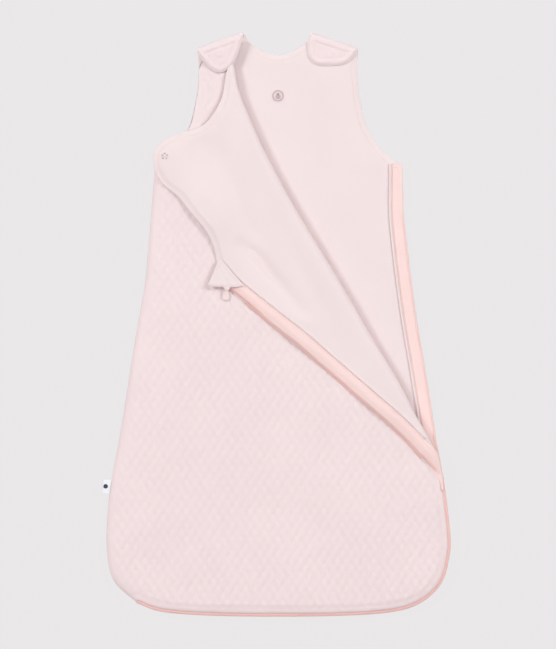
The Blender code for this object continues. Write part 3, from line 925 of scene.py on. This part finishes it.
def shoulder_tabs():
    """Both shoulder tabs with their outlines, and the rolls that carry them."""
    left = smooth([(-0.0972, 0.329), (-0.0948, 0.3225), (-0.088, 0.3135), (-0.079, 0.305), (-0.07, 0.3018),
                   (-0.062, 0.3045), (-0.054, 0.3119), (-0.0475, 0.3274), (-0.0435, 0.34), (-0.0425, 0.3484)])
    shoulder = [(-0.0972, 0.329), (-0.0425, 0.3484)]
    low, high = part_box("left_tab_lining")[0][2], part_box("left_tab_outer")[1][2]
    shoulder_tab("left", left, shoulder, low, high, [((-0.07, 0.325), 0.0048, 0.0009)], "left_tab")
    shoulder_roll("left", shoulder, 0.0006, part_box("left_shoulder_seam")[1][2], 0.0026)
    right = smooth([(0.0395, 0.349), (0.0362, 0.3366), (0.0372, 0.3205), (0.0456, 0.3125), (0.06, 0.3108),
                    (0.0787, 0.3126), (0.0882, 0.3192), (0.0955, 0.3305)])
    shoulder = [(0.0955, 0.3305), (0.0395, 0.349)]
    low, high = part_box("right_tab_lining")[0][2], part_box("right_tab_outer")[1][2]
    dimples = [((0.0593, 0.3198), 0.0013, -0.0012), ((0.0662, 0.3226), 0.0013, -0.0012),
               ((0.0628, 0.3212), 0.006, 0.0006)]
    shoulder_tab("right", right, shoulder, low, high, dimples, "right_tab")
    shoulder_roll("right", shoulder, 0.0002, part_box("right_shoulder_seam")[1][2] + 0.0006, 0.0022)


# ---- press stud, garage, label, neck mark
def torus(name, centre, radius, thick, mat, prongs=0, prong_radius=0.0006):
    """A ring, with small round prongs standing on it."""
    mesh = bmesh.new()
    bpy.ops.mesh.primitive_torus_add(location=centre, major_radius=radius, minor_radius=thick,
                                     major_segments=40, minor_segments=12)
    ring = bpy.context.object
    ring.name = name
    ring.data.transform(ring.matrix_world)
    ring.matrix_world.identity()
    mesh.from_mesh(ring.data)
    for k in range(prongs):
        turn = 2 * math.pi * (k + 0.25) / prongs
        made = bmesh.ops.create_uvsphere(mesh, u_segments=10, v_segments=8, radius=prong_radius)
        bmesh.ops.scale(mesh, verts=made["verts"], vec=(1.0, 1.0, 0.6))
        x, y = centre[0] + radius * math.cos(turn), centre[1] + radius * math.sin(turn)
        bmesh.ops.translate(mesh, verts=made["verts"], vec=(x, y, centre[2] + thick + 0.0004))
    mesh.to_mesh(ring.data)
    mesh.free()
    ring.data.materials.clear()
    ring.data.materials.append(mat)
    ring.data.shade_smooth()
    return ring


def strap_stud(surface):
    """The press stud on the folded front strap: a ring, its prongs and a pearl."""
    at = np.array([[-0.1356, 0.2006]])
    z = float(surface(at)[0])
    ring = torus("stud_ring", (at[0, 0], at[0, 1], z + 0.0001), 0.0034, 0.0007, LINING)
    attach(ring, "front_flap")
    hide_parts("strap_stud_ring")
    points = torus("stud_prongs", (at[0, 0], at[0, 1], z + 0.0004), 0.0034, 0.00015, PRONG, prongs=5)
    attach(points, "front_flap")
    pearl = torus("stud_pearl", (at[0, 0], at[0, 1], z + 0.0003), 0.0009, 0.0009, LINING)
    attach(pearl, "front_flap")
    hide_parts("strap_stud_pearl")


def garage():
    """The zip garage: a folded corner of lining, stitched near its top and along its right side."""
    corners = smooth([(-0.0836, 0.0462), (-0.079, 0.056), (-0.0735, 0.069), (-0.0696, 0.0765),
                      (-0.064, 0.0715), (-0.056, 0.062), (-0.048, 0.053), (-0.0408, 0.0452)], 5)
    base = smooth([(-0.0408, 0.0452), (-0.052, 0.044), (-0.064, 0.0446), (-0.074, 0.0446),
                   (-0.0836, 0.0462)], 5)
    outline = counter_clockwise(closed(corners, base))
    rim = np.vstack([outline, outline[:1]])
    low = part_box("zip_garage")[0][2]

    def top(points):
        edge = distance_to(points, rim)
        fold = 0.0002 * np.exp(-(((points[:, 1] - 0.0475) / 0.0022) ** 2))
        pleat = 0.0002 * np.sin((points[:, 0] + 0.6 * points[:, 1]) * 620)
        return low + 0.0001 + 0.0004 * ease(edge / 0.0025) + fold + pleat * ease(edge / 0.003)

    piece = padded_panel("garage_cloth", outline, top, level(low - 0.0003), [LINING, LINING],
                         spacing=0.001, bulge=0.0005)
    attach(piece, "front_flap")
    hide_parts("zip_garage")
    for name, line in (
        ("garage_top_stitches", [(-0.0745, 0.064), (-0.07, 0.0715), (-0.0665, 0.0715)]),
        ("garage_side_stitches", [(-0.064, 0.068), (-0.054, 0.0565), (-0.046, 0.0478)]),
    ):
        line = evenly(smooth(line), 0.0022)
        row = stitches(name, np.column_stack([line, top(line) + 0.0002]), THREAD, step=0.0022, long=0.0016,
                       radius=0.00014)
        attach(row, "front_flap")


def side_label():
    """A plain woven label, with a small blank dark disc woven on it."""
    low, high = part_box("side_label")
    corners = [(low[0], low[1]), (high[0] - 0.0006, low[1]), (high[0] + 0.002, high[1]),
               (low[0] + 0.0008, high[1]), (low[0], low[1])]
    outline = counter_clockwise(closed(evenly(corners, 0.0008)))
    piece = padded_panel("label_cloth", outline, lambda p: high[2] + 0.0004 * wobble(p, 90, 3.0),
                         level(low[2]), [LABEL, LABEL], spacing=0.0008, bulge=0.0002)
    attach(piece, "label")
    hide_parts("side_label")
    middle = (np.array(low) + np.array(high)) / 2
    disc = flat_disc("label_mark", (middle[0] - 0.0004, middle[1] + 0.0006), 0.0027, high[2] + 0.0005, NAVY)
    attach(disc, "label")


def flat_disc(name, centre, radius, height, mat, hollow=0.0001):
    """A thin round print or patch, or a ring."""
    sides, verts, faces = 36, [], []
    low = height - 0.0002
    for r, z in ((radius, low), (radius, height), (hollow, height), (hollow, low)):
        for k in range(sides):
            turn = 2 * math.pi * k / sides
            verts.append((centre[0] + r * math.cos(turn), centre[1] + r * math.sin(turn), z))
    for ring in range(4):
        above = (ring + 1) % 4
        for k in range(sides):
            j = (k + 1) % sides
            faces.append((ring * sides + k, ring * sides + j, above * sides + j, above * sides + k))
    piece = new_piece(name, verts, faces, [mat], flat=True)
    fix_normals(piece)
    return piece


def neck_mark():
    """A generic round mark: a ring with two plain dots in it."""
    x, y = 0.0, 0.2742
    ring = flat_disc("neck_mark_ring", (x, y), 0.0068, BACK_TOP + 0.001, PRINT, hollow=0.0056)
    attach(ring, "back")
    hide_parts("neck_patch")
    for k, size in enumerate((0.0028, 0.0015)):
        dot = flat_disc(f"neck_mark_dot_{k}", (x, y - 0.0012 + 0.0032 * k), size, BACK_TOP + 0.001, PRINT)
        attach(dot, "back")


def coil(name, path, height, body, node):
    """A row of moulded zip coil: one small loop for each pitch along the path."""
    path = evenly(path, COIL_PITCH)
    verts, faces = [], []
    turns = [2 * math.pi * k / 6 for k in range(6)]
    for p, s in zip(path, normals(path)):
        way = np.array([-s[1], s[0]])
        rings = []
        for t, z in ((-1.0, -0.6), (-0.35, 0.7), (0.45, 0.7), (1.0, 0.0)):
            centre = np.array([*(p + s * (0.0013 + 0.0012 * t)), height + COIL_RADIUS * z])
            rings.append([centre + COIL_WIRE * np.array([way[0] * math.cos(turn), way[1] * math.cos(turn),
                                                         math.sin(turn)]) for turn in turns])
        add_tube(verts, faces, rings)
    piece = new_piece(name, verts, faces, [COIL])
    fix_normals(piece)
    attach(piece, body)
    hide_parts(node)
    return piece


LENS_DISTANCE = 3.0
VIEW_HEIGHT = 0.7788
LAMP_GAIN = 1.115
LAMP_COLOUR = (0.897, 1.0, 1.0)
SKY_COLOUR = (1.0, 0.86, 0.865, 1)
SKY_STRENGTH = 0.435
FLOOR_SIZE = 12
FLOOR_Z = -0.0012


def camera_and_light():
    """A long lens straight above, a soft lamp from each side, one overhead and an even surround."""
    lens_data = bpy.data.cameras.new("camera")
    lens_data.sensor_fit = "VERTICAL"
    lens_data.sensor_height = 24.0
    lens_data.lens = 24.0 * LENS_DISTANCE / VIEW_HEIGHT
    lens = bpy.data.objects.new("camera", lens_data)
    lens.location = (0.0, -0.0012, LENS_DISTANCE + FRONT_TOP)
    bpy.context.collection.objects.link(lens)
    bpy.context.scene.camera = lens
    for name, where, energy, size in (
        ("key", (-3.4, 1.9, 3.7), 98.0, 1.4),
        ("fill", (3.3, 2.1, 3.7), 92.0, 1.4),
        ("top", (0.0, -0.9, 5.0), 38.0, 2.6),
    ):
        lamp_data = bpy.data.lights.new(name, "AREA")
        lamp_data.energy = LAMP_GAIN * energy
        lamp_data.color = LAMP_COLOUR
        lamp_data.size = size
        lamp = bpy.data.objects.new(name, lamp_data)
        lamp.location = where
        lamp.rotation_euler = (Vector((0, 0, 0)) - Vector(where)).to_track_quat("-Z", "Y").to_euler()
        bpy.context.collection.objects.link(lamp)
    world = bpy.data.worlds.new("surround")
    world.use_nodes = True
    sky = world.node_tree.nodes["Background"]
    sky.inputs["Color"].default_value = SKY_COLOUR
    sky.inputs["Strength"].default_value = SKY_STRENGTH
    bpy.context.scene.world = world
    bpy.context.scene.view_settings.view_transform = "Standard"
    bpy.ops.mesh.primitive_plane_add(size=FLOOR_SIZE, location=(0, 0, FLOOR_Z))
    floor = bpy.context.object
    floor.name = "studio_floor"
    paper = bpy.data.materials.new("pale_floor")
    paper.use_nodes = True
    shader = paper.node_tree.nodes["Principled BSDF"]
    shader.inputs["Base Color"].default_value = (0.02, 0.02, 0.02, 1)
    shader.inputs["Roughness"].default_value = 1.0
    shader.inputs["Specular IOR Level"].default_value = 0.0
    shader.inputs["Emission Color"].default_value = (*srgb(232, 229, 231), 1)
    shader.inputs["Emission Strength"].default_value = 1.0
    floor.data.materials.append(paper)


camera_and_light()
back_surface = back_panel()
front_surface = front_lower()
flap_surface = front_upper()
topstitching(back_surface, front_surface, flap_surface)
build_zip(flap_surface)
closed_zip()
side_seam()
shoulder_tabs()
strap_stud(flap_surface)
garage()
side_label()
neck_mark()

# CAD nodes that stay get their finished materials.
KEPT = {"metal": METAL, "snap": SNAP, "outer": OUTER, "lining": LINING, "zip_tape": TAPE, "zip_coil": COIL,
        "label": LABEL, "print": PRINT, "wadding": LINING}
slots = {s["node"]: s["material_slot"] for s in frame["record"]["subparts"]}
for node, piece in frame["nodes"].items():
    for place in piece.material_slots:
        place.material = KEPT[slots[node]]
